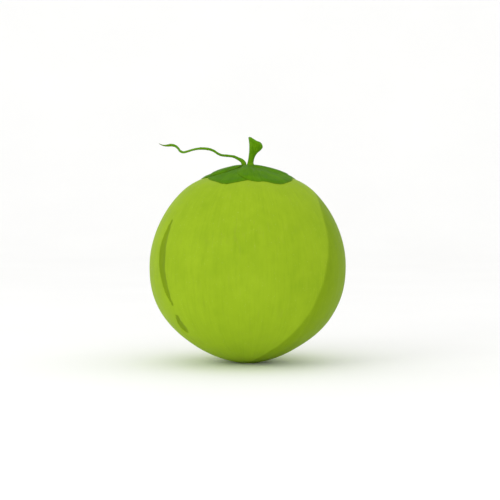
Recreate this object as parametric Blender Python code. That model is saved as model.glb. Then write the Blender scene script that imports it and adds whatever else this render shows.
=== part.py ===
"""A whole young green coconut, standing on the small flat spot at its tip.

Frame: metres, +Z up, origin at the middle of the flat spot, -Y is the front.
Azimuth is measured from the front, positive towards +X. The fruit hangs on the palm by its
crown, so the crown is at the top. Pieces: the fruit, the six leathery tepals of its cap, the
stub of the flower branch that carried it, and the thin wavy tail of that branch.
"""

import math

import bmesh
import bpy
from mathutils import Vector

MM = 0.001

# Driving dimensions
HALF_WIDTH = 90.0 * MM
CENTRE_HEIGHT = 89.9 * MM
CLEARANCE = 0.45 * MM
TEPAL_THICKNESS = 1.3 * MM
MARGIN_THICKNESS = 0.6 * MM
CROWN_RECESS = 3.2 * MM
NUB_RADIUS = 5.6 * MM

# The fruit's outline: (angle up from the tip in degrees, radius as a share of HALF_WIDTH)
OUTLINE = (
    (0, 1.0075),
    (33, 0.988),
    (67, 1.0155),
    (90, 1.000),
    (120, 0.988),
    (150, 1.001),
    (180, 1.010),
)

# The three ridges of the husk: (azimuth at mid-height, lean in degrees per degree of latitude)
RIDGES = ((-55, -0.12), (52.5, 0.28), (178, 0.1))
RIDGE_SWELL = 0.045
RIDGE_SPREAD = 5.0
CREST_SWELL = 0.010
CREST_SPREAD = 45.0

# The cap's recess in the crown, in degrees from the crown: full inside the first, none past the second
RECESS_FROM = 14
RECESS_TO = 42

# Mesh density
FRUIT_SIDES = 72
TEPAL_COLUMNS = 22
TEPAL_ROWS = 9
STUB_SIDES = 20

TEPAL_BASE = 4.3
TEPAL_ROUNDNESS = 2.6
POINT_WIDTH = 10

# Tepals: name, whorl, azimuth, tip (degrees from the crown), reach to the left and to the right in
# degrees of azimuth, how far its tip is drawn out in degrees, and the nick in its margin: (azimuth
# from its middle, depth, width), in degrees
TEPALS = (
    ("inner_tepal_1", "inner", -24, 33.9, 60, 45, 2.5, (0, 0.0, 1)),
    ("inner_tepal_2", "inner", 96, 29.3, 50, 50, 0.4, (14, 1.2, 6)),
    ("inner_tepal_3", "inner", 214, 32.8, 52, 50, 2.0, (-9, 1.0, 5)),
    ("outer_tepal_1", "outer", 36, 34.4, 62, 56, 1.9, (-17, 1.3, 6)),
    ("outer_tepal_2", "outer", 156, 32.6, 54, 54, 1.8, (18, 1.4, 6)),
    ("outer_tepal_3", "outer", 274, 28.6, 54, 52, 0.4, (-13, 1.2, 6)),
)

# The stub's rings, from its foot to its torn face, in millimetres:
# (x, height, half-width along X, half-depth along Y, tilt of the ring in degrees)
STUB_RINGS = (
    (2.7, 181.3, 3.3, 3.4, 0),
    (2.7, 182.4, 2.8, 2.9, 0),
    (3.1, 184.4, 2.6, 2.7, 1),
    (3.6, 186.6, 2.6, 2.7, 3),
    (4.4, 189.4, 3.0, 3.0, 8),
    (5.6, 192.4, 3.9, 3.7, 15),
    (6.9, 196.0, 5.7, 4.9, 25),
    (7.6, 199.2, 7.3, 6.1, 31),
    (7.7, 200.9, 7.9, 6.6, 33),
    (7.8, 201.8, 7.9, 6.6, 33),
    (7.9, 202.3, 7.5, 6.2, 33),
    (8.0, 202.55, 6.8, 5.6, 33),
    (7.4, 202.0, 4.2, 3.5, 33),
)

# The tail's route, in millimetres: (x, y, height, radius)
TAIL_ROUTE = (
    (-3.1, 0.0, 181.3, 2.05),
    (-3.25, 0.0, 182.2, 1.95),
    (-4.4, 0.1, 184.0, 1.7),
    (-6.3, 0.3, 185.5, 1.45),
    (-8.7, 0.6, 186.8, 1.2),
    (-12.9, 0.9, 188.3, 1.05),
    (-18.7, 0.8, 189.2, 1.02),
    (-23.6, -0.4, 189.6, 1.0),
    (-27.5, -1.6, 191.2, 0.96),
    (-31.0, -2.6, 193.6, 0.98),
    (-35.3, -3.4, 195.2, 1.02),
    (-40.2, -3.8, 195.8, 1.05),
    (-45.2, -3.4, 195.6, 0.95),
    (-49.8, -2.6, 194.8, 0.86),
    (-55.0, -1.0, 193.2, 0.86),
    (-59.0, 0.2, 192.3, 0.94),
    (-61.8, 1.2, 193.4, 0.92),
    (-63.7, 1.9, 195.9, 0.9),
    (-66.3, 2.4, 198.1, 0.98),
    (-69.8, 2.5, 198.9, 1.12),
    (-73.0, 2.2, 198.6, 0.98),
    (-76.2, 1.5, 198.5, 0.62),
    (-79.0, 0.8, 199.1, 0.36),
    (-81.2, 0.2, 200.2, 0.18),
)
TAIL_STEPS = 3


def clear_scene():
    for obj in list(bpy.data.objects):
        bpy.data.objects.remove(obj)


def smoothstep(low, high, value):
    share = min(1.0, max(0.0, (value - low) / (high - low)))
    return share * share * (3 - 2 * share)


def wrap_degrees(angle):
    return (angle + 180) % 360 - 180


def through(before, start, end, after, share):
    """A Catmull-Rom step between start and end, for numbers or vectors."""
    return 0.5 * (
        2 * start
        + (end - before) * share
        + (2 * before - 5 * start + 4 * end - after) * share**2
        + (3 * start - before - 3 * end + after) * share**3
    )


def outline_radius(polar):
    """The outline's radius at an angle from the tip, smooth through its points and level at both ends."""
    angles = [point[0] for point in OUTLINE]
    radii = [point[1] for point in OUTLINE]
    last = len(OUTLINE) - 1
    i = max(k for k in range(last) if angles[k] <= polar)
    before = radii[i - 1] if i else radii[1]
    after = radii[i + 2] if i + 2 <= last else radii[last - 1]
    share = (polar - angles[i]) / (angles[i + 1] - angles[i])
    return HALF_WIDTH * through(before, radii[i], radii[i + 1], after, share)


def ridge_height(azimuth, polar):
    """How far the husk's three ridges lift the surface, as a share of the radius."""
    latitude = polar - 90
    strength = smoothstep(12, 50, polar) * (1 - smoothstep(100, 170, polar))
    lift = 0.0
    for middle, lean in RIDGES:
        turn = math.cos(math.radians(azimuth - middle - lean * latitude)) - 1
        lift += RIDGE_SWELL * (math.exp(RIDGE_SPREAD * turn) - 0.18)
        lift += CREST_SWELL * math.exp(CREST_SPREAD * turn)
    return strength * lift


def skin_point(azimuth, from_crown, lift=0.0, recessed=True):
    """A point on the fruit's skin, or lift above it. from_crown is the angle from the crown, in degrees."""
    polar = 180 - from_crown
    radius = outline_radius(polar) * (1 + ridge_height(azimuth, polar))
    if recessed:
        radius -= CROWN_RECESS * (1 - smoothstep(RECESS_FROM, RECESS_TO, from_crown))
    radius += lift
    out = radius * math.sin(math.radians(polar))
    turn = math.radians(azimuth)
    height = CENTRE_HEIGHT - radius * math.cos(math.radians(polar))
    return Vector((out * math.sin(turn), -out * math.cos(turn), height))


def make_material(name, colour, roughness):
    material = bpy.data.materials.new(name)
    material.use_nodes = True
    shader = material.node_tree.nodes["Principled BSDF"]
    shader.inputs["Base Color"].default_value = (*colour, 1.0)
    shader.inputs["Roughness"].default_value = roughness
    shader.inputs["Metallic"].default_value = 0.0
    material.diffuse_color = (*colour, 1.0)
    return material


def add_object(name, data, material):
    data.materials.append(material)
    obj = bpy.data.objects.new(name, data)
    bpy.context.scene.collection.objects.link(obj)
    return obj


def loft(name, rings, material, sharp_angle=40):
    """A closed mesh through rings of points, each with the same count, its two ends filled."""
    bm = bmesh.new()
    loops = [[bm.verts.new(point) for point in ring] for ring in rings]
    for near, far in zip(loops, loops[1:]):
        for i, vertex in enumerate(near):
            j = (i + 1) % len(near)
            bm.faces.new((vertex, near[j], far[j], far[i]))
    bm.faces.new(reversed(loops[0]))
    bm.faces.new(loops[-1])
    bmesh.ops.recalc_face_normals(bm, faces=bm.faces)
    mesh = bpy.data.meshes.new(name)
    bm.to_mesh(mesh)
    bm.free()
    mesh.shade_smooth()
    mesh.set_sharp_from_angle(angle=math.radians(sharp_angle))
    return add_object(name, mesh, material)


def crown_angles():
    """The fruit's rings, in degrees from the crown: close together at the nub and under the cap."""
    nub = math.degrees(NUB_RADIUS / HALF_WIDTH)
    angles = [0.55 * nub, 0.9 * nub, nub, nub + 0.4, nub + 2.4]
    angles += [8.5 + 3.0 * step for step in range(10)]
    angles += [40 + 5.0 * step for step in range(25)]
    angles += [163.5, 167.0, 170.0]
    return angles


def flat_spot_angle():
    """The angle from the crown where the tip is cut off level with the ground."""
    steepness = CENTRE_HEIGHT / outline_radius(0)
    return 180 - math.degrees(math.acos(steepness))


def make_fruit(material):
    """The husk: a ridged round body, with a nub in a shallow recess on the crown and a flat spot below."""
    nub = math.degrees(NUB_RADIUS / HALF_WIDTH)
    rings = []
    for angle in crown_angles() + [flat_spot_angle()]:
        is_nub = angle <= nub
        ring = []
        for side in range(FRUIT_SIDES):
            azimuth = 360 * side / FRUIT_SIDES
            point = skin_point(azimuth, angle, recessed=not is_nub)
            point.z = max(point.z, 0.0)
            ring.append(point)
        rings.append(ring)
    for point in rings[-1]:
        point.z = 0.0
    return loft("fruit", rings, material)


def margin_angle(tepal, offset):
    """Where a tepal's margin lies, in degrees from the crown, at an azimuth offset from its middle."""
    _, _, _, tip, left, right, point, nick = tepal
    reach = left if offset < 0 else right
    share = min(1.0, abs(offset) / reach)
    edge = TEPAL_BASE + (tip - point - TEPAL_BASE) * math.sqrt(1 - share**TEPAL_ROUNDNESS)
    edge += point * math.exp(-((offset / POINT_WIDTH) ** 2))
    where, depth, width = nick
    edge -= depth * math.exp(-(((offset - where) / width) ** 2))
    return max(edge, TEPAL_BASE + 0.8)


def side_offset(tepal, from_crown, side):
    """How far a tepal reaches in azimuth from its middle, at an angle from the crown."""
    _, _, _, tip, left, right, _, _ = tepal
    reach = left if side < 0 else right
    share = min(1.0, max(0.0, (from_crown - TEPAL_BASE) / (tip - TEPAL_BASE)))
    return reach * (1 - share**2) ** (1 / TEPAL_ROUNDNESS)


def inner_cover(azimuth, from_crown):
    """1 over the inner tepals and just past their margins, falling to 0 where the skin is bare."""
    cover = 0.0
    for tepal in TEPALS:
        if tepal[1] != "inner":
            continue
        offset = wrap_degrees(azimuth - tepal[2])
        past_margin = math.radians(from_crown - margin_angle(tepal, offset)) * HALF_WIDTH
        past_side = math.radians(abs(offset) - side_offset(tepal, from_crown, offset))
        past_side *= HALF_WIDTH * math.sin(math.radians(from_crown))
        distance = min(past_margin, past_side)
        cover = max(cover, 1 - smoothstep(4.5 * MM, 9 * MM, distance))
    return cover


def make_tepal(tepal, material):
    """One leathery tepal, lying on the crown or over the inner tepals, thinner towards its margin."""
    name, whorl, middle, _, left, right, _, _ = tepal
    rings = []
    for column in range(TEPAL_COLUMNS + 1):
        across = math.sin(math.pi * (column / TEPAL_COLUMNS - 0.5)) * 0.985
        offset = across * (left if across < 0 else right)
        azimuth = middle + offset
        margin = margin_angle(tepal, offset)
        upper, lower = [], []
        for row in range(TEPAL_ROWS + 1):
            along = row / TEPAL_ROWS
            angle = TEPAL_BASE + (margin - TEPAL_BASE) * along
            lift = CLEARANCE
            if whorl == "outer":
                lift += (TEPAL_THICKNESS + CLEARANCE) * inner_cover(azimuth, angle)
            thin = smoothstep(0.6, 1.0, along)
            thickness = TEPAL_THICKNESS + (MARGIN_THICKNESS - TEPAL_THICKNESS) * thin
            lower.append(skin_point(azimuth, angle, lift))
            upper.append(skin_point(azimuth, angle, lift + thickness))
        rings.append(upper + lower[::-1])
    return loft(name, rings, material, sharp_angle=50)


def make_stub(material):
    """The stub of the flower branch: a short neck that flares to a slanting torn face."""
    rings = []
    for x, height, half_width, half_depth, tilt in STUB_RINGS:
        slope = math.radians(tilt)
        across = Vector((math.cos(slope), 0, -math.sin(slope)))
        ring = []
        for side in range(STUB_SIDES):
            turn = 2 * math.pi * side / STUB_SIDES
            point = Vector((x, 0, height)) + across * half_width * math.cos(turn)
            point.y += half_depth * math.sin(turn)
            ring.append(point * MM)
        rings.append(ring)
    return loft("branch_stub", rings, material)


def make_tail(material):
    """The thin end of the flower branch, as a bevelled curve that tapers to a point."""
    points = [Vector(point) for point in TAIL_ROUTE]
    ends = [2 * points[0] - points[1]] + points + [2 * points[-1] - points[-2]]
    route = []
    for i in range(len(points) - 1):
        for step in range(TAIL_STEPS):
            route.append(through(*ends[i : i + 4], step / TAIL_STEPS))
    route.append(points[-1])
    curve = bpy.data.curves.new("branch_tail", "CURVE")
    curve.dimensions = "3D"
    curve.bevel_depth = 1.0 * MM
    curve.bevel_resolution = 2
    curve.use_fill_caps = True
    spline = curve.splines.new("POLY")
    spline.points.add(len(route) - 1)
    for target, (x, y, height, radius) in zip(spline.points, route):
        target.co = (x * MM, y * MM, height * MM, 1.0)
        target.radius = radius
    return add_object("branch_tail", curve, material)


def main():
    clear_scene()
    husk = make_material("husk_skin", (0.32, 0.49, 0.02), 0.45)
    leathery = make_material("tepal_leather", (0.09, 0.25, 0.002), 0.6)
    woody = make_material("green_stalk", (0.09, 0.25, 0.002), 0.65)
    make_fruit(husk)
    for tepal in TEPALS:
        make_tepal(tepal, leathery)
    make_stub(woody)
    make_tail(woody)


main()
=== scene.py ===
# %% [markdown]
# # A young green coconut
# This lesson dresses a measured model of a fruit so that it looks grown. The model arrives as a
# fixed frame of plain solids: a husk, six tepals, the stub of a branch and its thin tail. Each one
# is replaced by a finer mesh of the same shape, with a material made of patterns, not pictures.

import functools
import math

import bmesh
import bpy
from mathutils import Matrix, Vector, noise


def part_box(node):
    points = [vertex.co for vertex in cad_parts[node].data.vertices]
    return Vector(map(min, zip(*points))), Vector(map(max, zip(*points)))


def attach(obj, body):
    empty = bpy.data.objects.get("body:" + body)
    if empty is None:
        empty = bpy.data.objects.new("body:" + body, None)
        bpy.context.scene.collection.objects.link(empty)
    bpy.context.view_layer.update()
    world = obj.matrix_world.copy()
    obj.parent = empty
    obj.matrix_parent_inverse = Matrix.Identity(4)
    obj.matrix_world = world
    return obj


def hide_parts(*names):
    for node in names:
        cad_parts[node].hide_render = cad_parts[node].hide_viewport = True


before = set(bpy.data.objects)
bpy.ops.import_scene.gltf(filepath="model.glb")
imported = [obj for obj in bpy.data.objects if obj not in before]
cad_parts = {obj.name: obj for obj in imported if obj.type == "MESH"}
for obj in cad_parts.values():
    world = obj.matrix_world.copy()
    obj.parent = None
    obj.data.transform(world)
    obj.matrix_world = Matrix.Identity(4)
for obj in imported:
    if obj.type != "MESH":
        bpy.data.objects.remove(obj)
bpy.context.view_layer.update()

MM = 0.001
husk_low, husk_high = (Vector(corner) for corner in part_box("fruit"))
print("CAD nodes:", sorted(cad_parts))
print("husk:", [round(side / MM, 1) for side in husk_high - husk_low], "mm")

# %% [markdown]
# ## The shape of the fruit
# A coconut is close to a ball, but not a ball: it has three soft ridges from crown to tip. One way is
# to sculpt a sphere. Here a formula gives the distance from the middle of the fruit to its skin, for
# any direction, because every later piece has to lie on that skin exactly.
#
# Directions are an azimuth (0 at the front, positive to the right) and an angle down from the crown.

# %% the skin as a formula
HALF_WIDTH = 90.0 * MM
CENTRE_HEIGHT = 89.9 * MM
CROWN_RECESS = 3.2 * MM
RECESS_FROM = 14
RECESS_TO = 42
CALLUS_RADIUS = 5.6 * MM

# Angle up from the tip, in degrees, and the radius there as a share of HALF_WIDTH
OUTLINE = (
    (0, 1.0075),
    (33, 0.988),
    (67, 1.0155),
    (90, 1.000),
    (120, 0.988),
    (150, 1.001),
    (180, 1.010),
)

# The three ridges: azimuth at mid-height, and lean in degrees per degree of latitude
RIDGES = ((-55, -0.12), (52.5, 0.28), (178, 0.1))
RIDGE_SWELL = 0.045
RIDGE_SPREAD = 5.0
RIDGE_MEAN = 0.18
CREST_SWELL = 0.010
CREST_SPREAD = 45.0


def smoothstep(low, high, value):
    share = min(1.0, max(0.0, (value - low) / (high - low)))
    return share * share * (3 - 2 * share)


def wrap_degrees(angle):
    return (angle + 180) % 360 - 180


def through(before, start, end, after, share):
    """A Catmull-Rom step between start and end, for numbers or vectors."""
    return 0.5 * (
        2 * start
        + (end - before) * share
        + (2 * before - 5 * start + 4 * end - after) * share**2
        + (3 * start - before - 3 * end + after) * share**3
    )


def outline_radius(polar):
    """The radius at an angle up from the tip, before the ridges."""
    angles = [point[0] for point in OUTLINE]
    radii = [point[1] for point in OUTLINE]
    last = len(OUTLINE) - 1
    i = max(k for k in range(last) if angles[k] <= polar)
    before = radii[i - 1] if i else radii[1]
    after = radii[i + 2] if i + 2 <= last else radii[last - 1]
    share = (polar - angles[i]) / (angles[i + 1] - angles[i])
    return HALF_WIDTH * through(before, radii[i], radii[i + 1], after, share)


def ridge_height(azimuth, polar):
    """A share of the radius: broad swells with their mean taken off, each with a narrow crest on it."""
    latitude = polar - 90
    strength = smoothstep(12, 50, polar) * (1 - smoothstep(100, 170, polar))
    lift = 0.0
    for middle, lean in RIDGES:
        turn = math.cos(math.radians(azimuth - middle - lean * latitude)) - 1
        lift += RIDGE_SWELL * (math.exp(RIDGE_SPREAD * turn) - RIDGE_MEAN)
        lift += CREST_SWELL * math.exp(CREST_SPREAD * turn)
    return strength * lift


def skin_radius(azimuth, from_crown, recessed=True):
    """The distance from the fruit's middle to its skin, with the crown pressed in under the cap."""
    polar = 180 - from_crown
    radius = outline_radius(polar) * (1 + ridge_height(azimuth, polar))
    if recessed:
        radius -= CROWN_RECESS * (1 - smoothstep(RECESS_FROM, RECESS_TO, from_crown))
    return radius


def place(azimuth, from_crown, radius):
    """The point at that direction and distance from the middle of the fruit."""
    out = radius * math.sin(math.radians(from_crown))
    turn = math.radians(azimuth)
    height = CENTRE_HEIGHT + radius * math.cos(math.radians(from_crown))
    return Vector((out * math.sin(turn), -out * math.cos(turn), height))


widest = max(skin_radius(azimuth, 90) for azimuth in range(-180, 180, 5))
print("widest radius at mid-height:", round(widest / MM, 2), "mm")

# %% [markdown]
# ## Marks on the skin
# The left ridge carries a long sickle-shaped furrow, with a small drop-shaped one under it, and the colour
# in it is darkened as painted shade in the crease. Past the right ridge the colour is darkened as painted
# shade, on top of the real shade where the key light falls away. Each is a share from 0 to 1 at any
# direction, so that the same function can press the mesh in and, stored on the mesh, colour the material.

# %% furrows, painted shade side and dents
# Rows of (latitude, azimuth of the middle, half-width), in degrees: first the sickle, then the drop
FURROWS = (
    (
        (-21.5, -48.6, 0.0),
        (-14, -51.1, 1.8),
        (-8, -53.0, 2.4),
        (0, -55.0, 3.1),
        (8, -56.0, 3.4),
        (15, -56.4, 2.9),
        (21, -56.1, 2.0),
        (28.5, -56.2, 0.0),
    ),
    (
        (-39.2, -47.5, 0.0),
        (-38, -48.0, 1.9),
        (-35.5, -48.5, 3.1),
        (-32.5, -48.9, 2.8),
        (-28.5, -48.8, 1.6),
        (-25, -48.3, 0.0),
    ),
)
FURROW_DEPTH = 0.6 * MM

# Where the painted shade side begins, just past the right ridge: (latitude, azimuth). It fades over these
# ranges, in degrees: past the edge, towards the back, and up in latitude, towards the crown
PAINTED_SHADE_EDGE = (
    (-90, 0.0),
    (-75, 10.5),
    (-56, 24.3),
    (-41, 31.8),
    (-30, 37.4),
    (-18, 42.0),
    (-8, 45.8),
    (2, 49.2),
    (11, 52.2),
    (19, 54.5),
    (28, 57.5),
    (38, 64.0),
    (47, 79.0),
    (56, 104.0),
)
BACK_FADE = (60, 105)
CROWN_FADE = (48, 66)

# Dents from lying in a bunch, and one swelling with a negative depth: azimuth, latitude and radius in
# degrees, depth in millimetres
DENTS = (
    (84, -44, 24, -0.9),
    (-92, -52, 18, 0.7),
    (132, 14, 12, 0.8),
    (-128, -22, 16, 0.9),
    (-150, 34, 9, 0.6),
    (160, -38, 11, 0.6),
    (12, -52, 8, 0.3),
    (-20, 30, 7, 0.2),
)


def read_rows(rows, latitude):
    """The other numbers of a table of rows, smooth at any latitude between its ends."""
    i = max(k for k in range(len(rows) - 1) if rows[k][0] <= latitude)
    share = (latitude - rows[i][0]) / (rows[i + 1][0] - rows[i][0])
    four = (rows[max(i - 1, 0)], rows[i], rows[i + 1], rows[min(i + 2, len(rows) - 1)])
    return [through(*numbers, share) for numbers in list(zip(*four))[1:]]


def furrow_share(azimuth, latitude):
    """1 in the middle of a furrow, 0 at its rim."""
    for rows in FURROWS:
        if rows[0][0] < latitude < rows[-1][0]:
            middle, half_width = read_rows(rows, latitude)
            aside = abs(wrap_degrees(azimuth - middle))
            return max(0.0, 1 - aside / max(half_width, 0.01))
    return 0.0


def painted_shade_share(azimuth, latitude):
    """1 on the side darkened with painted shade past the right ridge, fading out round the back and
    towards the crown.
    """
    edge = read_rows(PAINTED_SHADE_EDGE, latitude)[0] if latitude < PAINTED_SHADE_EDGE[-1][0] else PAINTED_SHADE_EDGE[-1][1]
    past = wrap_degrees(azimuth - edge)
    if past < -20:
        return 0.0
    fading = (1 - smoothstep(*BACK_FADE, past)) * (1 - smoothstep(*CROWN_FADE, latitude))
    return smoothstep(-1.0, 1.0, past) * fading


def dent_depth(point):
    """How far the skin is pressed in at a point, in metres."""
    depth = 0.0
    for azimuth, latitude, radius, deepest in DENTS:
        middle = place(azimuth, 90 - latitude, HALF_WIDTH)
        distance = (point - middle).length / (HALF_WIDTH * math.radians(radius))
        depth += deepest * MM * math.exp(-2.5 * distance**2)
    return depth


print("furrow share at its middle:", round(furrow_share(-55.4, 2), 2))

# %% [markdown]
# ## The husk's mesh
# The frame's husk has flat facets. A subdivision surface would round them, but it would also pull the
# shape in. This one is built again from the formula, with a point every 1.1 to 1.6 mm, close enough for
# furrows, dents and slow unevenness to be real shape that catches the light. Finer relief than that is
# left to the material. The unevenness is noise read at the point's own position, so it has no seam. It
# dies away under the cap and at the flat spot, where other things touch the husk.

# %% the husk's uneven skin
LUMP_HEIGHT = 0.6 * MM
LUMP_SIZE = 34 * MM
FIBRE_HEIGHT = 0.10 * MM
FIBRE_SPACING = 5 * MM
FIBRE_LENGTH = 55 * MM
CALLUS_RELIEF = 0.25 * MM
CALLUS_FOLDS = 13
CALLUS_GRAIN = 1.3 * MM
CALLUS_RIM_DROP = 1.0 * MM
# Angles from the crown: the skin is left even above the first pair and below the second
CAP_BLEND = (24, 40)
TIP_BLEND = (155, 170)


def stretch_along_meridian(point, sideways, along):
    """Coordinates that pull a pattern out from crown to tip; sizes are in metres."""
    direction = (point - Vector((0, 0, CENTRE_HEIGHT))).normalized()
    around = Vector((direction.x, direction.y, 0)).normalized() * HALF_WIDTH / sideways
    return around + Vector((0, 0, math.asin(direction.z) * HALF_WIDTH / along))


def rubbed_share(azimuth):
    """1 at the back, where the fruit lay against its neighbours in the bunch."""
    return smoothstep(95, 140, abs(azimuth + 8))


def husk_point(azimuth, from_crown):
    """A point of the skin, with its lumps, fibres, dents and furrows."""
    radius = skin_radius(azimuth, from_crown)
    point = place(azimuth, from_crown, radius)
    free = smoothstep(*CAP_BLEND, from_crown) * (1 - smoothstep(*TIP_BLEND, from_crown))
    lump = noise.noise(point / LUMP_SIZE) + 0.4 * noise.noise(point / LUMP_SIZE * 2.3)
    fibre = noise.noise(stretch_along_meridian(point, FIBRE_SPACING, FIBRE_LENGTH))
    uneven = LUMP_HEIGHT * (0.25 + 0.75 * rubbed_share(azimuth))
    rise = uneven * lump + FIBRE_HEIGHT * fibre - dent_depth(point)
    rise -= FURROW_DEPTH * smoothstep(0, 0.6, furrow_share(azimuth, 90 - from_crown))
    return place(azimuth, from_crown, radius + rise * free)


def callus_point(azimuth, from_crown):
    """The woody spot that the branch grows from: a low rounded button with radial folds."""
    out = from_crown / callus_angle
    point = place(azimuth, from_crown, skin_radius(azimuth, from_crown, False))
    folds = 0.5 * math.cos(math.radians(CALLUS_FOLDS * azimuth)) + noise.noise(point / CALLUS_GRAIN)
    point.z += CALLUS_RELIEF * folds * out - CALLUS_RIM_DROP * smoothstep(0.7, 1.0, out)
    return point


callus_angle = math.degrees(CALLUS_RADIUS / HALF_WIDTH)
print("callus radius:", round(CALLUS_RADIUS / MM, 1), "mm, or", round(callus_angle, 1), "degrees")

# %% [markdown]
# ## Rings joined into a mesh
# Husk, tepals, stub and tail are all built the same way: closed rings of points, joined by a band of
# faces from each ring to the next. By hand that is Bridge Edge Loops; here a short function does it,
# so that every mesh is closed and nearly all quads. Sharp edges are marked by angle, the rest is smooth.

# %% rings and how they are joined
HUSK_SIDES = 360
HUSK_RINGS = 236


def new_mesh_object(name, bm, sharp_angle=60):
    """Turns the points and faces into an object, smooth but for edges sharper than the angle."""
    bmesh.ops.recalc_face_normals(bm, faces=bm.faces)
    mesh = bpy.data.meshes.new(name)
    bm.to_mesh(mesh)
    bm.free()
    mesh.shade_smooth()
    mesh.set_sharp_from_angle(angle=math.radians(sharp_angle))
    obj = bpy.data.objects.new(name, mesh)
    bpy.context.scene.collection.objects.link(obj)
    return obj


def skin_rings(bm, loops):
    """Joins neighbouring closed loops of vertices with quads, and fills the two ends."""
    for near, far in zip(loops, loops[1:]):
        for i, vertex in enumerate(near):
            j = (i + 1) % len(near)
            bm.faces.new((vertex, near[j], far[j], far[i]))
    bm.faces.new(reversed(loops[0]))
    bm.faces.new(loops[-1])


flat_angle = 180 - math.degrees(math.acos(CENTRE_HEIGHT / outline_radius(0)))
flat_radius = HALF_WIDTH * math.sin(math.radians(flat_angle))
callus_rings = [callus_angle * share for share in (0.3, 0.5, 0.65, 0.78, 0.86, 0.92, 0.97, 1.0)]
first = callus_angle + 0.9
step_angle = (flat_angle - first) / HUSK_RINGS
skin_angles = [callus_angle + 0.25] + [first + step_angle * i for i in range(HUSK_RINGS + 1)]
azimuths = [360 * side / HUSK_SIDES - 180 for side in range(HUSK_SIDES)]
print("husk rings every", round(math.radians(step_angle) * HALF_WIDTH / MM, 2), "mm")

# %% build the husk
bm = bmesh.new()
shares = {
    name: bm.verts.layers.float.new(name) for name in ("painted_shade_side", "furrow_painted_shade", "rubbed", "callus")
}
loops = []
for from_crown in callus_rings + skin_angles:
    make_point = callus_point if from_crown <= callus_angle else husk_point
    loop = []
    for azimuth in azimuths:
        point = make_point(azimuth, from_crown)
        point.z = 0.0 if from_crown == skin_angles[-1] else max(point.z, 0.0)
        vertex = bm.verts.new(point)
        wobble = noise.noise(point / (9 * MM))
        # painted shade: how much the colour is darkened past the right ridge and in the furrows
        vertex[shares["painted_shade_side"]] = painted_shade_share(azimuth + 0.5 * wobble, 90 - from_crown)
        vertex[shares["furrow_painted_shade"]] = furrow_share(azimuth + 0.3 * wobble, 90 - from_crown)
        vertex[shares["rubbed"]] = rubbed_share(azimuth)
        vertex[shares["callus"]] = float(from_crown <= skin_angles[1])
        loop.append(vertex)
    loops.append(loop)

# The flat spot, with the small three-sided scar of the flower's tip pressed into its middle
TIP_SCAR_DEPTH = 0.7 * MM
for share in (0.75, 0.5, 0.34, 0.24, 0.2, 0.12, 0.04):
    depth = TIP_SCAR_DEPTH * (1 - smoothstep(0.2, 0.26, share))
    three_sided = 0.06 if share < 0.3 else 0.0
    loop = []
    for azimuth in azimuths:
        turn = math.radians(azimuth)
        out = flat_radius * share * (1 + three_sided * math.sin(3 * turn))
        loop.append(bm.verts.new((out * math.sin(turn), -out * math.cos(turn), depth)))
    loops.append(loop)
skin_rings(bm, loops)
husk = new_mesh_object("husk", bm)
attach(husk, "root")
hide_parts("fruit")
print("husk faces:", len(husk.data.polygons), "flat spot radius:", round(flat_radius / MM, 1), "mm")

# %% [markdown]
# ## The cap of tepals
# Six leathery tepals lie on the crown: three inner ones on the skin, three outer ones over the gaps.
# Cloth draped over a ball would fall in folds, which thick tepals don't do, so each is built as a sheet
# between two surfaces. Its outline is a rounded lobe, with a shallow nick where it dried. Towards its
# edge the sheet gets thin and settles on what lies under it, so the cap ends nearly level with the husk.
#
# Only the upper surface gets buckles and veins, because the lower one can't be seen. The distance to
# the edge is stored on the mesh for the material, which dries the edge out.

# %% tepal sizes
CLEARANCE = 0.45 * MM
TEPAL_THICKNESS = 1.3 * MM
MARGIN_THICKNESS = 0.35 * MM
SOFT_EDGE = 5.0 * MM
# Between these angles from the crown a tepal loses this share of its thickness
THIN_FROM = 15
THIN_TO = 29
THIN_SHARE = 0.35
# Near the branch a tepal is gripped, so its sides there thin as if they were this much further in
FOOT_SUPPORT = 4.0 * MM
FOOT_BLEND = (6, 12)
# Angles from the crown at which the outline opens and the sheet starts, the outline's squareness, and
# the half-width in degrees of the drawn-out point
TEPAL_BASE = 4.3
TEPAL_FOOT = 3.75
TEPAL_ROUNDNESS = 2.6
POINT_WIDTH = 10

# Name, whorl, azimuth, tip from the crown, reach left and right, how far the tip is drawn out, and
# the nick in the margin (azimuth, depth, width), all in degrees
TEPALS = (
    ("inner_tepal_1", "inner", -24, 33.9, 60, 45, 2.5, (0, 0.0, 1)),
    ("inner_tepal_2", "inner", 96, 29.3, 50, 50, 0.4, (14, 1.2, 6)),
    ("inner_tepal_3", "inner", 214, 32.8, 52, 50, 2.0, (-9, 1.0, 5)),
    ("outer_tepal_1", "outer", 36, 34.4, 62, 56, 1.9, (-17, 1.3, 6)),
    ("outer_tepal_2", "outer", 156, 32.6, 54, 54, 1.8, (18, 1.4, 6)),
    ("outer_tepal_3", "outer", 274, 28.6, 54, 52, 0.4, (-13, 1.2, 6)),
)
print("tepals:", [row[0] for row in TEPALS])


# %% a tepal's outline
def margin_angle(tepal, offset):
    """How far from the crown a tepal reaches, in degrees, at an offset from its middle."""
    _, _, _, tip, left, right, point, nick = tepal
    reach = left if offset < 0 else right
    share = min(1.0, abs(offset) / reach)
    edge = TEPAL_BASE + (tip - point - TEPAL_BASE) * math.sqrt(1 - share**TEPAL_ROUNDNESS)
    edge += point * math.exp(-((offset / POINT_WIDTH) ** 2))
    where, depth, width = nick
    edge -= depth * math.exp(-(((offset - where) / width) ** 2))
    return max(edge, TEPAL_BASE + 0.8)


def side_offset(tepal, from_crown, side):
    """How far to one side a tepal reaches, in degrees, at an angle from the crown."""
    _, _, _, tip, left, right, _, _ = tepal
    reach = left if side < 0 else right
    share = min(1.0, max(0.0, (from_crown - TEPAL_BASE) / (tip - TEPAL_BASE)))
    return reach * (1 - share**2) ** (1 / TEPAL_ROUNDNESS)


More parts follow.
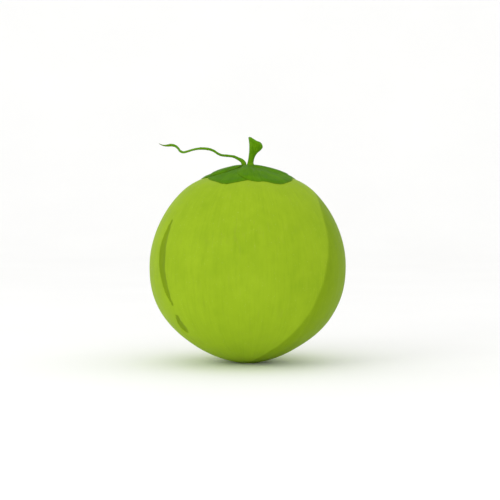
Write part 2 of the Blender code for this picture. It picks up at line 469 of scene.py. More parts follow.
def inside_by(tepal, offset, from_crown):
    """How far inside a tepal's outline a place is, in metres; negative outside it."""
    past_margin = math.radians(from_crown - margin_angle(tepal, offset)) * HALF_WIDTH
    past_side = math.radians(abs(offset) - side_offset(tepal, from_crown, offset))
    past_side *= HALF_WIDTH * math.sin(math.radians(from_crown))
    nearer = min(past_margin, past_side)
    return -nearer if nearer > 0 else -max(past_margin, past_side)


def sheet(inside, from_crown):
    """The gap under a tepal and its thickness: both shrink outwards and towards its edge."""
    foot = FOOT_SUPPORT * (1 - smoothstep(*FOOT_BLEND, from_crown))
    soft = smoothstep(0, SOFT_EDGE, inside + foot)
    full = 1 - THIN_SHARE * smoothstep(THIN_FROM, THIN_TO, from_crown)
    gap = CLEARANCE * full * (0.2 + 0.8 * soft)
    return gap, MARGIN_THICKNESS + (TEPAL_THICKNESS * full - MARGIN_THICKNESS) * soft


def inner_top(azimuth, from_crown, slope):
    """How high the inner tepals stand there; outside them it falls to 0 over the slope's width."""
    top = 0.0
    for tepal in TEPALS:
        if tepal[1] == "inner":
            inside = inside_by(tepal, wrap_degrees(azimuth - tepal[2]), from_crown)
            top = max(top, sum(sheet(inside, from_crown)) * smoothstep(-slope, 0, inside))
    return top


print("a tepal's margin at its middle:", margin_angle(TEPALS[0], 0), "degrees from the crown")

# %% build the tepals
TEPAL_COLUMNS = 110
TEPAL_ROWS = 56
BUCKLE_HEIGHT = 0.22 * MM
BUCKLE_SIZE = 11 * MM
VEIN_HEIGHT = 0.13 * MM
VEIN_WIDTH = 9 * MM
VEIN_LENGTH = 22 * MM
RAGGED_BY = 0.3
RAGGED_OVER = 3.5
FLAT_EDGE = 2.5 * MM
# An outer tepal comes down off an inner one steeply underneath and gently on top
LOWER_SLOPE = 1.0 * MM
UPPER_SLOPE = 4.0 * MM


def make_tepal(tepal, seed):
    """Rings round the sheet's cross-section, from one side to the other, closer together at the sides."""
    name, whorl, middle, _, left, right, _, _ = tepal
    bm = bmesh.new()
    edge_layer = bm.verts.layers.float.new("edge_mm")
    loops = []
    for column in range(TEPAL_COLUMNS + 1):
        across = math.sin(math.pi * (column / TEPAL_COLUMNS - 0.5)) * 0.985
        offset = across * (left if across < 0 else right)
        azimuth = middle + offset
        ragged = RAGGED_BY * noise.noise(Vector((offset / RAGGED_OVER, seed, 0)))
        margin = margin_angle(tepal, offset) + ragged * (1 - abs(across))
        upper, lower = [], []
        for row in range(TEPAL_ROWS + 1):
            along = 1 - (1 - row / TEPAL_ROWS) ** 1.3
            from_crown = TEPAL_FOOT + (margin - TEPAL_FOOT) * along
            inside = max(0.0, inside_by(tepal, offset, from_crown))
            gap, thickness = sheet(inside, from_crown)
            bottom = top = skin_radius(azimuth, from_crown) + gap
            if whorl == "outer":
                bottom += inner_top(azimuth, from_crown, LOWER_SLOPE)
                top += inner_top(azimuth, from_crown, UPPER_SLOPE)
            point = place(azimuth, from_crown, bottom)
            buckle = noise.noise(point / BUCKLE_SIZE + Vector((seed, 0, 0)))
            vein = noise.noise(stretch_along_meridian(point, VEIN_WIDTH, VEIN_LENGTH))
            relief = (BUCKLE_HEIGHT * buckle + VEIN_HEIGHT * vein) * smoothstep(0, FLAT_EDGE, inside)
            for side, radius in ((upper, top + thickness + relief), (lower, bottom)):
                vertex = bm.verts.new(place(azimuth, from_crown, radius))
                vertex[edge_layer] = inside / MM
                side.append(vertex)
        loops.append(upper + lower[::-1])
    skin_rings(bm, loops)
    obj = new_mesh_object("cap_" + name, bm, sharp_angle=70)
    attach(obj, "root")
    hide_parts(name)
    return obj


tepals = [make_tepal(tepal, 3.7 * i) for i, tepal in enumerate(TEPALS)]
print("tepals:", len(tepals), "with", sum(len(t.data.polygons) for t in tepals), "faces")

# %% [markdown]
# ## The stub of the branch
# The fruit hung from a branch that was torn off. Its stub is a bundle of fibres: a narrow neck, then
# a flare that ends in a slanting, ragged face. It could be a bevelled curve, but that can't flare and
# tilt at once. It is built as rings along the neck, with each ring's radius pushed in and out so that
# the grooves run up the neck as the fibres do. The face is more rings, shrinking to the middle, each
# point at a slightly different height.

# %% the stub's rings
# Rings, in millimetres: x, height, half-width along X, half-depth along Y, tilt in degrees
STUB_RINGS = (
    (2.4, 180.2, 3.8, 4.0, 0),
    (2.35, 181.3, 3.1, 3.2, 0),
    (2.35, 182.4, 2.7, 2.8, 0),
    (2.7, 184.4, 2.6, 2.7, 1),
    (3.2, 186.6, 2.65, 2.7, 3),
    (3.95, 189.4, 3.0, 3.0, 8),
    (5.05, 192.4, 3.75, 3.7, 15),
    (6.35, 196.0, 5.5, 4.9, 25),
    (6.95, 199.3, 7.1, 6.0, 31),
    (7.05, 200.9, 7.75, 6.6, 33),
    (7.2, 201.65, 7.65, 6.5, 33),
    (7.5, 202.3, 7.05, 5.9, 33),
    (7.95, 202.65, 6.0, 5.0, 33),
)
STUB_SIDES = 132
STUB_STEPS = 9
STUB_GROOVES = 17
# In millimetres: the fibre grooves, slow lumps, and on the torn face its dish, its rags and its shoulder
GROOVE_DEPTH = 0.20
STUB_LUMP = 0.2
TORN_DISH = 0.8
TORN_RAG = 0.5
SHOULDER = 0.9


def spread(rows, steps):
    """More rows, smooth through the given ones."""
    rows = [Vector(row) for row in rows]
    ends = [2 * rows[0] - rows[1]] + rows + [2 * rows[-1] - rows[-2]]
    for i in range(len(rows) - 1):
        for step in range(steps):
            yield through(*ends[i : i + 4], step / steps)
    yield rows[-1]


stub_rings = list(spread(STUB_RINGS, STUB_STEPS))
print("stub rings:", len(stub_rings))


# %% build the stub
def groove_push(unit, turn, flare):
    """How far the side of the stub stands out, in millimetres: fibre grooves and slow lumps."""
    drift = 0.9 * noise.noise(unit * 1.3 + Vector((0, 0, flare * 2.2)))
    groove = math.cos(STUB_GROOVES * turn + 2.2 * drift)
    fine = noise.noise(unit * 9 + Vector((0, 0, flare * 3)))
    push = GROOVE_DEPTH * (groove * 0.55 + fine) * (0.45 + 0.75 * flare)
    return push + STUB_LUMP * noise.noise(unit * 1.6 + Vector((4, 0, flare * 5)))


def torn_height(unit, turn, share):
    """How high the torn face stands, in millimetres: dished, ragged, with a shoulder on one side."""
    rag = noise.noise(unit * share * 5 + Vector((0, 9, 0)))
    rag += 0.5 * noise.noise(unit * share * 13 + Vector((0, 3, 5)))
    shoulder = math.exp(-(((share * math.cos(turn) - 0.55) / 0.42) ** 2))
    height = TORN_RAG * rag * (1 - 0.6 * share) + SHOULDER * shoulder - TORN_DISH * (1 - share**2)
    return height * smoothstep(1.04, 0.9, share)


bm = bmesh.new()
torn_layer = bm.verts.layers.float.new("torn")
fibre_layer = bm.verts.layers.float_vector.new("fibre_space")
loops = []
face_shares = [0.985, 0.96, 0.92, 0.87, 0.8, 0.72, 0.64, 0.56, 0.48, 0.4, 0.32, 0.24, 0.16, 0.08]
last = len(stub_rings) - 1
for index, share in enumerate([1.0] * len(stub_rings) + face_shares):
    x, height, half_width, half_depth, tilt = stub_rings[min(index, last)]
    slope = math.radians(tilt)
    across = Vector((math.cos(slope), 0, -math.sin(slope)))
    up = Vector((math.sin(slope), 0, math.cos(slope)))
    flare = min(index, last) / last
    loop = []
    for side in range(STUB_SIDES):
        turn = 2 * math.pi * side / STUB_SIDES
        unit = Vector((math.cos(turn), math.sin(turn), 0))
        push = groove_push(unit, turn, flare)
        point = Vector((x, 0, height))
        point += across * (half_width + push) * share * math.cos(turn)
        point.y += (half_depth + push) * share * math.sin(turn)
        if index > last:
            point += up * torn_height(unit, turn, share)
        vertex = bm.verts.new(point * MM)
        vertex[torn_layer] = smoothstep(1.0, 0.9, share)
        vertex[fibre_layer] = unit * 3 * share + Vector((0, 0, height / 10))
        loop.append(vertex)
    loops.append(loop)
skin_rings(bm, loops)
stub = new_mesh_object("stub", bm, sharp_angle=80)
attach(stub, "root")
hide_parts("branch_stub")
print("stub faces:", len(stub.data.polygons))

# %% [markdown]
# ## The thin tail
# The branch's thin end still leaves the crown sideways. It bends a little at each place where a flower
# sat, and has a small scar there. A bevelled curve would give it one round section all along, so it is
# lofted instead: rings are carried along the route, and scars and grooves are pushed into them.

# %% the tail's route
# Route, in millimetres: x, y, height, radius
TAIL_ROUTE = (
    (-3.6, 0.0, 180.5, 2.3),
    (-3.65, 0.0, 181.3, 2.3),
    (-3.9, 0.0, 182.1, 2.25),
    (-4.9, 0.1, 183.8, 1.95),
    (-6.8, 0.3, 185.2, 1.6),
    (-9.1, 0.6, 186.4, 1.35),
    (-12.9, 0.9, 188.05, 1.16),
    (-18.7, 0.8, 188.95, 1.12),
    (-23.6, -0.4, 189.35, 1.1),
    (-27.5, -1.6, 190.95, 1.06),
    (-31.0, -2.6, 193.35, 1.08),
    (-35.3, -3.4, 194.95, 1.12),
    (-40.2, -3.8, 195.55, 1.16),
    (-45.2, -3.4, 195.35, 1.04),
    (-49.8, -2.6, 194.55, 0.95),
    (-55.0, -1.0, 192.95, 0.95),
    (-59.0, 0.2, 192.05, 1.03),
    (-61.8, 1.2, 193.15, 1.01),
    (-63.7, 1.9, 195.65, 0.99),
    (-66.3, 2.4, 197.85, 1.08),
    (-69.8, 2.5, 198.65, 1.23),
    (-73.0, 2.2, 198.35, 1.08),
    (-76.2, 1.5, 198.25, 0.68),
    (-79.0, 0.8, 198.95, 0.4),
    (-81.2, 0.2, 200.05, 0.2),
)
TAIL_SIDES = 28
TAIL_STEPS = 20
# Scars, in millimetres: how far apart, how tall and how long, with a turn in radians from each to the next
SCAR_SPACING = 6.4
SCAR_HEIGHT = 0.26
SCAR_LENGTH = 0.75
SCAR_TURN = 2.4
# Grooves along the tail and small lumps, as shares of its radius
TAIL_GROOVES = 5
TAIL_GROOVE = 0.05
TAIL_LUMP = 0.07
# It dries out over this stretch, in millimetres from its foot
DRYING = (72, 96)

route = list(spread(TAIL_ROUTE, TAIL_STEPS))
places = [Vector(row[:3]) for row in route]
print("tail rings:", len(route))

# %% build the tail
bm = bmesh.new()
fibre_layer = bm.verts.layers.float_vector.new("fibre_space")
dry_layer = bm.verts.layers.float.new("dry")
loops = []
travelled = 0.0
side_way = Vector((0, 1, 0))
for i, point in enumerate(places):
    before, after = places[max(i - 1, 0)], places[min(i + 1, len(places) - 1)]
    heading = (after - before).normalized()
    side_way = (side_way - heading * side_way.dot(heading)).normalized()
    other_way = heading.cross(side_way)
    travelled += (point - before).length
    radius = route[i][3]
    nearest = round(travelled / SCAR_SPACING)
    from_scar = travelled - nearest * SCAR_SPACING
    scar_here = SCAR_HEIGHT if nearest > 1 else 0.0
    loop = []
    for side in range(TAIL_SIDES):
        turn = 2 * math.pi * side / TAIL_SIDES
        facing = max(0.0, math.cos(turn - SCAR_TURN * nearest)) ** 2
        scar = scar_here * facing * math.exp(-((from_scar / SCAR_LENGTH) ** 2))
        groove = TAIL_GROOVE * math.cos(TAIL_GROOVES * turn + 0.12 * travelled)
        lump = TAIL_LUMP * noise.noise(Vector((travelled / 2.2, math.cos(turn), math.sin(turn))))
        reach = radius * (1 + groove + lump) + scar * min(1.0, radius)
        offset = side_way * math.cos(turn) + other_way * math.sin(turn)
        vertex = bm.verts.new((point + offset * reach) * MM)
        vertex[fibre_layer] = Vector((3 * math.cos(turn), 3 * math.sin(turn), travelled / 10))
        vertex[dry_layer] = max(smoothstep(*DRYING, travelled), min(0.8, 1.8 * scar))
        loop.append(vertex)
    loops.append(loop)
skin_rings(bm, loops)
tail = new_mesh_object("tail", bm, sharp_angle=75)
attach(tail, "root")
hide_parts("branch_tail")
print("tail faces:", len(tail.data.polygons), "length:", round(travelled, 1), "mm")

# %% [markdown]
# ## Materials as patterns
# A picture wrapped round a fruit shows a seam and stretches at the poles. Patterns worked out at each
# point of the surface don't. Colours are written as hex, as on a screen, and turned linear by one
# function. One more adds any node, with its settings and links. Pattern sizes are real millimetres: the
# coordinates are turned from metres into millimetres first, and a noise's scale is 1 / its size.

# %% colours and nodes
def linear(colour):
    """A hex colour, as a screen shows it, turned into the linear numbers that the renderer mixes."""
    channels = [int(colour[i : i + 2], 16) / 255 for i in (1, 3, 5)]
    return [c / 12.92 if c <= 0.04045 else ((c + 0.055) / 1.055) ** 2.4 for c in channels] + [1.0]


def set_inputs(node, inputs):
    """Links an input to another node's output, or sets it to a number, a vector or a hex colour."""
    for name, value in inputs.items():
        if isinstance(value, bpy.types.NodeSocket):
            node.id_data.links.new(value, node.inputs[name])
        else:
            node.inputs[name].default_value = linear(value) if isinstance(value, str) else value


def add_node(tree, kind, inputs, output=0, stops=(), **settings):
    """Adds a node with its inputs, settings and colour stops, and returns one of its outputs."""
    node = tree.nodes.new("ShaderNode" + kind)
    for name, value in settings.items():
        setattr(node, name, value)
    set_inputs(node, inputs)
    for i, (position, colour) in enumerate(stops):
        elements = node.color_ramp.elements
        element = elements[i] if i < len(elements) else elements.new(position)
        element.position = position
        element.color = linear(colour)
    return node.outputs[output]


def new_material(name):
    """A material, the function that adds nodes to it, and its shader."""
    material = bpy.data.materials.new(name)
    material.use_nodes = True
    tree = material.node_tree
    return material, functools.partial(add_node, tree), tree.nodes["Principled BSDF"]


print("linear value of #9ABA28:", [round(c, 3) for c in linear("#9ABA28")])


# %% coordinates for the patterns
def in_millimetres(node):
    """The object's own coordinates, in millimetres."""
    where = node("TexCoord", {}, "Object")
    return node("VectorMath", {0: where, "Scale": 1 / MM}, operation="SCALE")


def from_crown_to_tip(node, where, girth, stretch):
    """Coordinates in which a pattern runs from crown to tip, stretch times longer than it is wide."""
    middle = (0, 0, CENTRE_HEIGHT / MM)
    centred = node("VectorMath", {0: where, 1: middle}, operation="SUBTRACT")
    unit = node("VectorMath", {0: centred}, operation="NORMALIZE")
    east = node("SeparateXYZ", {0: unit}, "X")
    north, height = (east.node.outputs[name] for name in "YZ")
    flat = node("CombineXYZ", {"X": east, "Y": north})
    around = node("VectorMath", {0: flat}, operation="NORMALIZE")
    ring = node("VectorMath", {0: around, "Scale": girth}, operation="SCALE")
    latitude = node("Math", {0: height}, operation="ARCSINE")
    along = node("Math", {0: latitude, 1: HALF_WIDTH / MM / stretch}, operation="MULTIPLY")
    return node("VectorMath", {0: ring, 1: node("CombineXYZ", {"Z": along})}), latitude


def finish_surface(node, shader, colour, layers, bumps):
    """Lays colours over the first one, then stacks the bumps, each standing so many millimetres tall."""
    for share, strength, over, blend in layers:
        amount = node("Math", {0: share, 1: strength}, operation="MULTIPLY")
        inputs = {0: amount, 6: colour, 7: over}
        colour = node("Mix", inputs, 2, data_type="RGBA", blend_type=blend)
    set_inputs(shader, {"Base Color": colour})
    below = {}
    for height, millimetres, strength in bumps:
        inputs = {"Height": height, "Distance": millimetres * MM, "Strength": strength}
        below = {"Normal": node("Bump", {**inputs, **below})}
    set_inputs(shader, below)


HUSK_GIRTH = HALF_WIDTH / MM
CAP_GIRTH = 40
print("radius that the patterns run round:", HUSK_GIRTH, "mm on the husk,", CAP_GIRTH, "mm on the cap")

# %% [markdown]
# ## Waxy young husk
# A young coconut's husk is smooth skin with a thin coat of plant wax, as it grew. To the eye that gives
# an even yellow green with a soft sheen and no sharp highlight, faint fibres showing through from crown
# to tip, and pale pores. Where it lay against its neighbours in the bunch, at the back, it is rubbed:
# dry corky patches and hairline scratches. Plant wax has an index near 1.44 and a roughness near 0.5.
# It lies too thin and broken here to mirror the studio, so the specular level is turned well down.
#
# The layers go from large to small. Fibres are 0.3 mm wide on a real husk, too fine for the render, so
# they are drawn 1.5 mm wide.

# %% husk patterns
SLOW_DRIFT = 46
MOTTLE = 9
FIBRE_WIDTH = 1.5
FIBRE_BUNDLE = 6
PORE_SPACING = 3.1
SCRATCH_WIDTH = 1.1
SCUFF = 4.5
SCUFF_PLACES = 30

material, node, shader = new_material("waxy_green_husk_with_painted_shade_and_light")
where = in_millimetres(node)
fibre_space, latitude = from_crown_to_tip(node, where, HUSK_GIRTH, 14)
scuff_space, _ = from_crown_to_tip(node, where, HUSK_GIRTH, 3)
drift = node("TexNoise", {"Vector": where, "Scale": 1 / SLOW_DRIFT, "Detail": 2.0})
mottle = node("TexNoise", {"Vector": where, "Scale": 1 / MOTTLE, "Detail": 5.0, "Roughness": 0.6})
fibre_noise = {"Vector": fibre_space, "Scale": 1 / FIBRE_WIDTH, "Detail": 4.0, "Roughness": 0.65}
fibres = node("TexNoise", fibre_noise)
bundles = node("TexNoise", {"Vector": fibre_space, "Scale": 1 / FIBRE_BUNDLE, "Detail": 3.0})
pore_cells = node("TexVoronoi", {"Vector": where, "Scale": 1 / PORE_SPACING}, "Distance")
pores = node("MapRange", {"Value": pore_cells, "From Min": 0.10, "From Max": 0.05})
print("pores: about", round(2 * 0.07 * PORE_SPACING, 2), "mm across")

# %% rubbed places
# painted shade: the side past the right ridge and the furrows' creases, as stored on the mesh
painted_shade_mask = node("Attribute", {}, "Fac", attribute_name="painted_shade_side")
furrow_painted_shade = node("Attribute", {}, "Fac", attribute_name="furrow_painted_shade")
furrow_painted_shade = node("MapRange", {"Value": furrow_painted_shade, "From Min": 0.02, "From Max": 0.16})
callus = node("Attribute", {}, "Fac", attribute_name="callus")
rubbed = node("Attribute", {}, "Fac", attribute_name="rubbed")
rubbed = node("MapRange", {"Value": rubbed, "To Min": 0.25, "To Max": 1.0})

scuff_place = node("TexNoise", {"Vector": where, "Scale": 1 / SCUFF_PLACES, "Detail": 2.0})
scuff_place = node("MapRange", {"Value": scuff_place, "From Min": 0.54, "From Max": 0.66})
scuff_noise = {"Vector": scuff_space, "Scale": 1 / SCUFF, "Detail": 6.0, "Roughness": 0.7}
scuff_edge = node("TexNoise", scuff_noise)
scuff_edge = node("MapRange", {"Value": scuff_edge, "From Min": 0.55, "From Max": 0.64})
scuffs = node("Math", {0: scuff_place, 1: scuff_edge}, operation="MULTIPLY")
scuffs = node("Math", {0: scuffs, 1: rubbed}, operation="MULTIPLY")

scratch_noise = {"Vector": fibre_space, "Scale": 1 / SCRATCH_WIDTH, "Detail": 1.0}
scratches = node("TexNoise", scratch_noise)
scratches = node("MapRange", {"Value": scratches, "From Min": 0.70, "From Max": 0.76})
scratches = node("Math", {0: scratches, 1: rubbed}, operation="MULTIPLY")
print("rubbed places are drawn from", SCUFF, "mm and", SCRATCH_WIDTH, "mm patterns")

# %% husk colours
# Latitudes here are in radians, 0 at mid-height, because the arcsine gives them so
# painted light: the lower side is made paler to lift the shade that falls there from the floor
painted_light_low_side = node("MapRange", {"Value": latitude, "From Min": -0.15, "From Max": -1.25})
near_crown = node("MapRange", {"Value": latitude, "From Min": 0.90, "From Max": 1.12})
near_tip = node("MapRange", {"Value": latitude, "From Min": -1.44, "From Max": -1.53})
tip_rough = node("MapRange", {"Value": mottle, "From Min": 0.3, "From Max": 0.6, "To Min": 0.5})
tip = node("Math", {0: near_tip, 1: tip_rough}, operation="MULTIPLY")
drift_stops = ((0.30, "#8BA91C"), (0.5, "#90AD1E"), (0.72, "#96B322"))
mottle_stops = ((0.28, "#87A51C"), (0.5, "#90AD1E"), (0.75, "#9AB626"))
streak_stops = ((0.30, "#E0E8D0"), (0.52, "#FFFFFF"), (0.75, "#FFFFEC"))
bundle_stops = ((0.3, "#EAF0D8"), (0.6, "#FFFFFF"))
callus_stops = ((0.3, "#3F5A0E"), (0.7, "#5E7A1C"))
# Each layer: where it lies, how strongly, its colour, and how it is blended
layers = (
    (1.0, 0.4, node("ValToRGB", {0: mottle}, stops=mottle_stops), "MIX"),
    # painted light: the lower side is made paler
    (painted_light_low_side, 0.45, "#A9C824", "MIX"),
    (1.0, 0.28, node("ValToRGB", {0: fibres}, stops=streak_stops), "MULTIPLY"),
    (1.0, 0.3, node("ValToRGB", {0: bundles}, stops=bundle_stops), "MULTIPLY"),
    (pores, 0.5, "#C9D873", "MIX"),
    # painted shade: the colour past the right ridge is darkened
    (painted_shade_mask, 0.95, "#D9DEA6", "MULTIPLY"),
    # painted shade: the colour in the furrows' creases is darkened
    (furrow_painted_shade, 0.95, "#CCD088", "MULTIPLY"),
    (near_crown, 0.12, "#A9C240", "MIX"),
    (scuffs, 0.62, "#8F8C42", "MIX"),
    (scratches, 0.38, "#A9A65A", "MIX"),
    (tip, 1.0, "#7A6A35", "MIX"),
    (callus, 0.92, node("ValToRGB", {0: mottle}, stops=callus_stops), "MIX"),
)
# Each bump: its pattern, how many millimetres tall, and how strongly
bumps = (
    (bundles, 0.20, 0.4),
    (fibres, 0.06, 0.5),
    (mottle, 0.14, 0.5),
    (node("Math", {0: scuffs, 1: pores}, operation="SUBTRACT"), 0.10, 0.6),
)
colour = node("ValToRGB", {0: drift}, stops=drift_stops)
finish_surface(node, shader, colour, layers, bumps)
print("husk colour layers:", len(layers), "and bumps:", len(bumps))

# %% husk gloss
dry = node("Math", {0: scuffs, 1: callus}, operation="MAXIMUM")
gloss = {"Value": mottle, "From Min": 0.3, "From Max": 0.7, "To Min": 0.48, "To Max": 0.58}
gloss = node("Math", {0: dry, 1: 0.22, 2: node("MapRange", gloss)}, operation="MULTIPLY_ADD")
set_inputs(shader, {"Roughness": gloss, "IOR": 1.44, "Specular IOR Level": 0.05})
husk.data.materials.append(material)
print("husk material nodes:", len(material.node_tree.nodes))

# %% [markdown]
# ## Leathery tepals
# Tepals are thick leaves that stayed on the fruit and dried slowly from the edge in. That gives the eye
# a darker, matt green, tough veins running out from the crown, and a margin that turns straw. The veins
# use the same stretched coordinates as the husk, on the cap's smaller girth. Real veins are 0.4 mm
# apart; they are drawn 0.9 mm apart, with broad folds of 3.6 mm under them.

# %% tepal material
VEIN_SPACING = 0.9
FOLD_WIDTH = 3.6
FRECKLE_SPACING = 4.2
LEAF_GRAIN = 0.7
LEAF_PATCH = 12

material, node, shader = new_material("leathery_green_tepal_dried_at_margin")
where = in_millimetres(node)
vein_space, _ = from_crown_to_tip(node, where, CAP_GIRTH, 9)
vein_noise = {"Vector": vein_space, "Scale": 1 / VEIN_SPACING, "Detail": 4.0, "Roughness": 0.6}
veins = node("TexNoise", vein_noise)
folds = node("TexNoise", {"Vector": vein_space, "Scale": 1 / FOLD_WIDTH, "Detail": 2.0})
patch_noise = {"Vector": where, "Scale": 1 / LEAF_PATCH, "Detail": 4.0, "Roughness": 0.55}
patches = node("TexNoise", patch_noise)
grain = node("TexNoise", {"Vector": where, "Scale": 1 / LEAF_GRAIN, "Detail": 2.0})

edge = node("Attribute", {}, "Fac", attribute_name="edge_mm")
ragged = {"Value": patches, "From Min": 0.3, "From Max": 0.7, "To Min": -0.7, "To Max": 0.7}
edge = node("Math", {0: edge, 1: node("MapRange", ragged)})
dry_edge = node("MapRange", {"Value": edge, "From Min": 1.3, "From Max": 0.1})
freckle_cells = node("TexVoronoi", {"Vector": where, "Scale": 1 / FRECKLE_SPACING}, "Distance")
freckles = node("MapRange", {"Value": freckle_cells, "From Min": 0.13, "From Max": 0.06})

patch_stops = ((0.28, "#467700"), (0.5, "#4E7F00"), (0.75, "#568702"))
streak_stops = ((0.30, "#D2DCC0"), (0.52, "#FFFFFF"), (0.78, "#FFFFE6"))
fold_stops = ((0.3, "#E0E8D0"), (0.6, "#FFFFFF"))
layers = (
    (1.0, 0.55, node("ValToRGB", {0: veins}, stops=streak_stops), "MULTIPLY"),
    (1.0, 0.5, node("ValToRGB", {0: folds}, stops=fold_stops), "MULTIPLY"),
    (dry_edge, 0.3, "#647C14", "MIX"),
    (freckles, 0.4, "#3E5A0C", "MIX"),
)
bumps = ((folds, 0.35, 0.6), (veins, 0.16, 0.7), (grain, 0.05, 0.5))
finish_surface(node, shader, node("ValToRGB", {0: patches}, stops=patch_stops), layers, bumps)

gloss = {"Value": patches, "From Min": 0.3, "From Max": 0.7, "To Min": 0.56, "To Max": 0.68}
gloss = node("Math", {0: dry_edge, 1: 0.18, 2: node("MapRange", gloss)}, operation="MULTIPLY_ADD")
set_inputs(shader, {"Roughness": gloss, "IOR": 1.45, "Specular IOR Level": 0.06})
for tepal in tepals:
    tepal.data.materials.append(material)
print("tepal material nodes:", len(material.node_tree.nodes))

# %% [markdown]
# ## Fibrous branch
# Stub and tail are the same tissue: a green rind over long fibres, grown, then torn or dried. Each mesh
# carries its own coordinates, which follow the branch, so the fibres bend with it. Where the branch was
# torn, the fibres' pale ends show; where it is thinnest it has dried to straw brown. Plant fibre has an
# index near 1.5, and no gloss to speak of, so its roughness starts at 0.56.

# %% branch materials
# In the coordinates that follow the branch, one unit is 10 mm along it; the other sizes are millimetres
FIBRES_PER_UNIT = 4.5
STRANDS_PER_UNIT = 1.25
RIND_PATCH = 5
FIBRE_END = 0.6


def branch_material(name, bare_share, bare_stops):
    """Green rind, with the tissue under it showing where the share stored on the mesh says."""
    material, node, shader = new_material(name)
    space = node("Attribute", {}, "Vector", attribute_name="fibre_space")
    bare = node("Attribute", {}, "Fac", attribute_name=bare_share)
    where = in_millimetres(node)
    fibre_noise = {"Vector": space, "Scale": FIBRES_PER_UNIT, "Detail": 4.0, "Roughness": 0.6}
    fibres = node("TexNoise", fibre_noise)
    strands = node("TexNoise", {"Vector": space, "Scale": STRANDS_PER_UNIT, "Detail": 3.0})
    patches = node("TexNoise", {"Vector": where, "Scale": 1 / RIND_PATCH, "Detail": 4.0})
    fibre_ends = node("TexVoronoi", {"Vector": where, "Scale": 1 / FIBRE_END}, "Distance")
    rind_stops = ((0.28, "#508402"), (0.5, "#5B8E04"), (0.75, "#68990C"))
    streak_stops = ((0.32, "#C8D4B2"), (0.52, "#FFFFFF"), (0.78, "#FFFFE0"))
    layers = (
        (1.0, 0.6, node("ValToRGB", {0: fibres}, stops=streak_stops), "MULTIPLY"),
        (bare, 1.0, node("ValToRGB", {0: fibre_ends}, stops=bare_stops), "MIX"),
        (bare, 0.5, node("ValToRGB", {0: strands}, stops=streak_stops), "MULTIPLY"),
    )
    raised_ends = node("Math", {0: fibre_ends, 1: bare}, operation="MULTIPLY")
    bumps = ((strands, 0.25, 0.6), (fibres, 0.14, 0.8), (raised_ends, -0.25, 0.6))
    finish_surface(node, shader, node("ValToRGB", {0: patches}, stops=rind_stops), layers, bumps)
    gloss = {"Value": strands, "From Min": 0.3, "From Max": 0.7, "To Min": 0.56, "To Max": 0.70}
    gloss = node("Math", {0: bare, 1: 0.15, 2: node("MapRange", gloss)}, operation="MULTIPLY_ADD")
    set_inputs(shader, {"Roughness": gloss, "IOR": 1.5, "Specular IOR Level": 0.06})
    return material


torn_stops = ((0.15, "#8FA144"), (0.45, "#7E9436"), (0.85, "#5F7A20"))
dried_stops = ((0.1, "#7F8634"), (0.4, "#727C2A"), (0.75, "#5F6E22"))
stub.data.materials.append(branch_material("green_branch_torn_across", "torn", torn_stops))
tail.data.materials.append(branch_material("green_branch_dried_at_tip", "dry", dried_stops))
print("materials:", [m.name for m in bpy.data.materials if m.users])

# %% [markdown]
# ## A plain studio
# The floor runs back and curves up into a wall, so there is no horizon behind the fruit. It has a
# faint paper tooth and is nearly white.

# %% floor
FLOOR_HALF_WIDTH = 3.0
FLOOR_FRONT = -2.5
FLOOR_BACK = 1.6
SWEEP_RADIUS = 1.0
SWEEP_TOP = 3.0
SWEEP_STEPS = 24
# A little below the fruit, so that the two flat faces don't fight for the same place
FLOOR_DROP = 0.2 * MM

# Points half a metre either side keep the smooth shading level round the fruit
profile = [(FLOOR_FRONT, 0.0), (-0.5, 0.0), (0.5, 0.0), (FLOOR_BACK, 0.0)]
for step in range(1, SWEEP_STEPS + 1):
    turn = math.radians(90 * step / SWEEP_STEPS)
    out = FLOOR_BACK + SWEEP_RADIUS * math.sin(turn)
    profile.append((out, SWEEP_RADIUS * (1 - math.cos(turn))))
profile.append((FLOOR_BACK + SWEEP_RADIUS, SWEEP_TOP))

bm = bmesh.new()
columns = []
for x in (-FLOOR_HALF_WIDTH, 0.0, FLOOR_HALF_WIDTH):
    columns.append([bm.verts.new((x, y, z)) for y, z in profile])
for near, far in zip(columns, columns[1:]):
    for i in range(len(near) - 1):
        bm.faces.new((near[i], far[i], far[i + 1], near[i + 1]))
mesh = bpy.data.meshes.new("floor")
bm.to_mesh(mesh)
bm.free()
mesh.shade_smooth()
floor = bpy.data.objects.new("floor", mesh)
bpy.context.scene.collection.objects.link(floor)
floor.location.z = -FLOOR_DROP
print("floor reaches back", FLOOR_BACK + SWEEP_RADIUS, "m")

# %% paper
PAPER_TOOTH = 1.2
PAPER_CLOUD = 220

material, node, shader = new_material("matt_white_paper_pressed")
where = in_millimetres(node)
tooth = node("TexNoise", {"Vector": where, "Scale": 1 / PAPER_TOOTH, "Detail": 3.0})
cloud = node("TexNoise", {"Vector": where, "Scale": 1 / PAPER_CLOUD, "Detail": 2.0})
colour = node("ValToRGB", {0: cloud}, stops=((0.3, "#FAFAF9"), (0.7, "#FCFCFB")))
finish_surface(node, shader, colour, (), ((tooth, 0.04, 0.3),))
gloss = {"Value": tooth, "From Min": 0.3, "From Max": 0.7, "To Min": 0.85, "To Max": 0.95}
set_inputs(shader, {"Roughness": node("MapRange", gloss), "Specular IOR Level": 0.1})
floor.data.materials.append(material)
print("paper tooth:", PAPER_TOOTH, "mm")

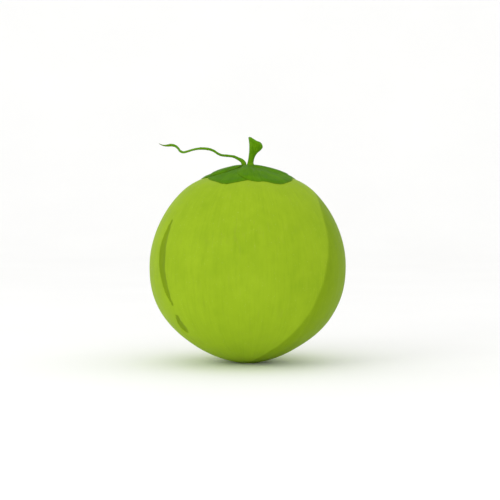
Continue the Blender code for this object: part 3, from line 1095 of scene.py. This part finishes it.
# %% [markdown]
# ## Light
# A large soft key light stands to the left, in front and a little above, so that the shade starts just
# past the right ridge. Everything else is even light from all round, which keeps the shade shallow.

# %% lights and world
MIDDLE = Vector((0, 0, CENTRE_HEIGHT))


def add_area_light(name, azimuth, elevation, distance, size, watts):
    """A round soft light that faces the fruit, from angles in degrees and sizes in metres."""
    data = bpy.data.lights.new(name, "AREA")
    data.shape = "DISK"
    data.size = size
    data.energy = watts
    light = bpy.data.objects.new(name, data)
    turn, rise = math.radians(azimuth), math.radians(elevation)
    flat = math.cos(rise)
    way = Vector((flat * math.sin(turn), -flat * math.cos(turn), math.sin(rise)))
    light.location = MIDDLE + way * distance
    light.rotation_euler = (-way).to_track_quat("-Z", "Y").to_euler()
    bpy.context.scene.collection.objects.link(light)


add_area_light("key", azimuth=-46, elevation=24, distance=1.6, size=0.9, watts=4.1)
add_area_light("front_fill", azimuth=2, elevation=4, distance=2.4, size=1.8, watts=7.4)

world = bpy.data.worlds.new("studio")
bpy.context.scene.world = world
world.use_nodes = True
background = world.node_tree.nodes["Background"]
background.inputs["Color"].default_value = linear("#FFFFFF")
background.inputs["Strength"].default_value = 1.0

# %% [markdown]
# ## Camera
# A long lens from a little above the middle of the fruit, as in a catalogue picture: it keeps the
# outline round and shows the cap's edge from the side.

# %% camera
CAMERA_DISTANCE = 1.6
CAMERA_ELEVATION = 3.0
FRAME_WIDTH = 0.4582
SENSOR_WIDTH = 36
AIM = Vector((0.0020, 0, 0.1027))

camera_data = bpy.data.cameras.new("camera")
camera_data.sensor_width = SENSOR_WIDTH
camera_data.lens = SENSOR_WIDTH * CAMERA_DISTANCE / FRAME_WIDTH
camera_data.clip_end = 50
camera = bpy.data.objects.new("camera", camera_data)
rise = math.radians(CAMERA_ELEVATION)
away = Vector((0, -math.cos(rise), math.sin(rise)))
camera.location = AIM + away * CAMERA_DISTANCE
camera.rotation_euler = (-away).to_track_quat("-Z", "Y").to_euler()
bpy.context.scene.collection.objects.link(camera)
bpy.context.scene.camera = camera
bpy.context.scene.view_settings.view_transform = "Standard"
print("lens:", round(camera_data.lens, 1), "mm")
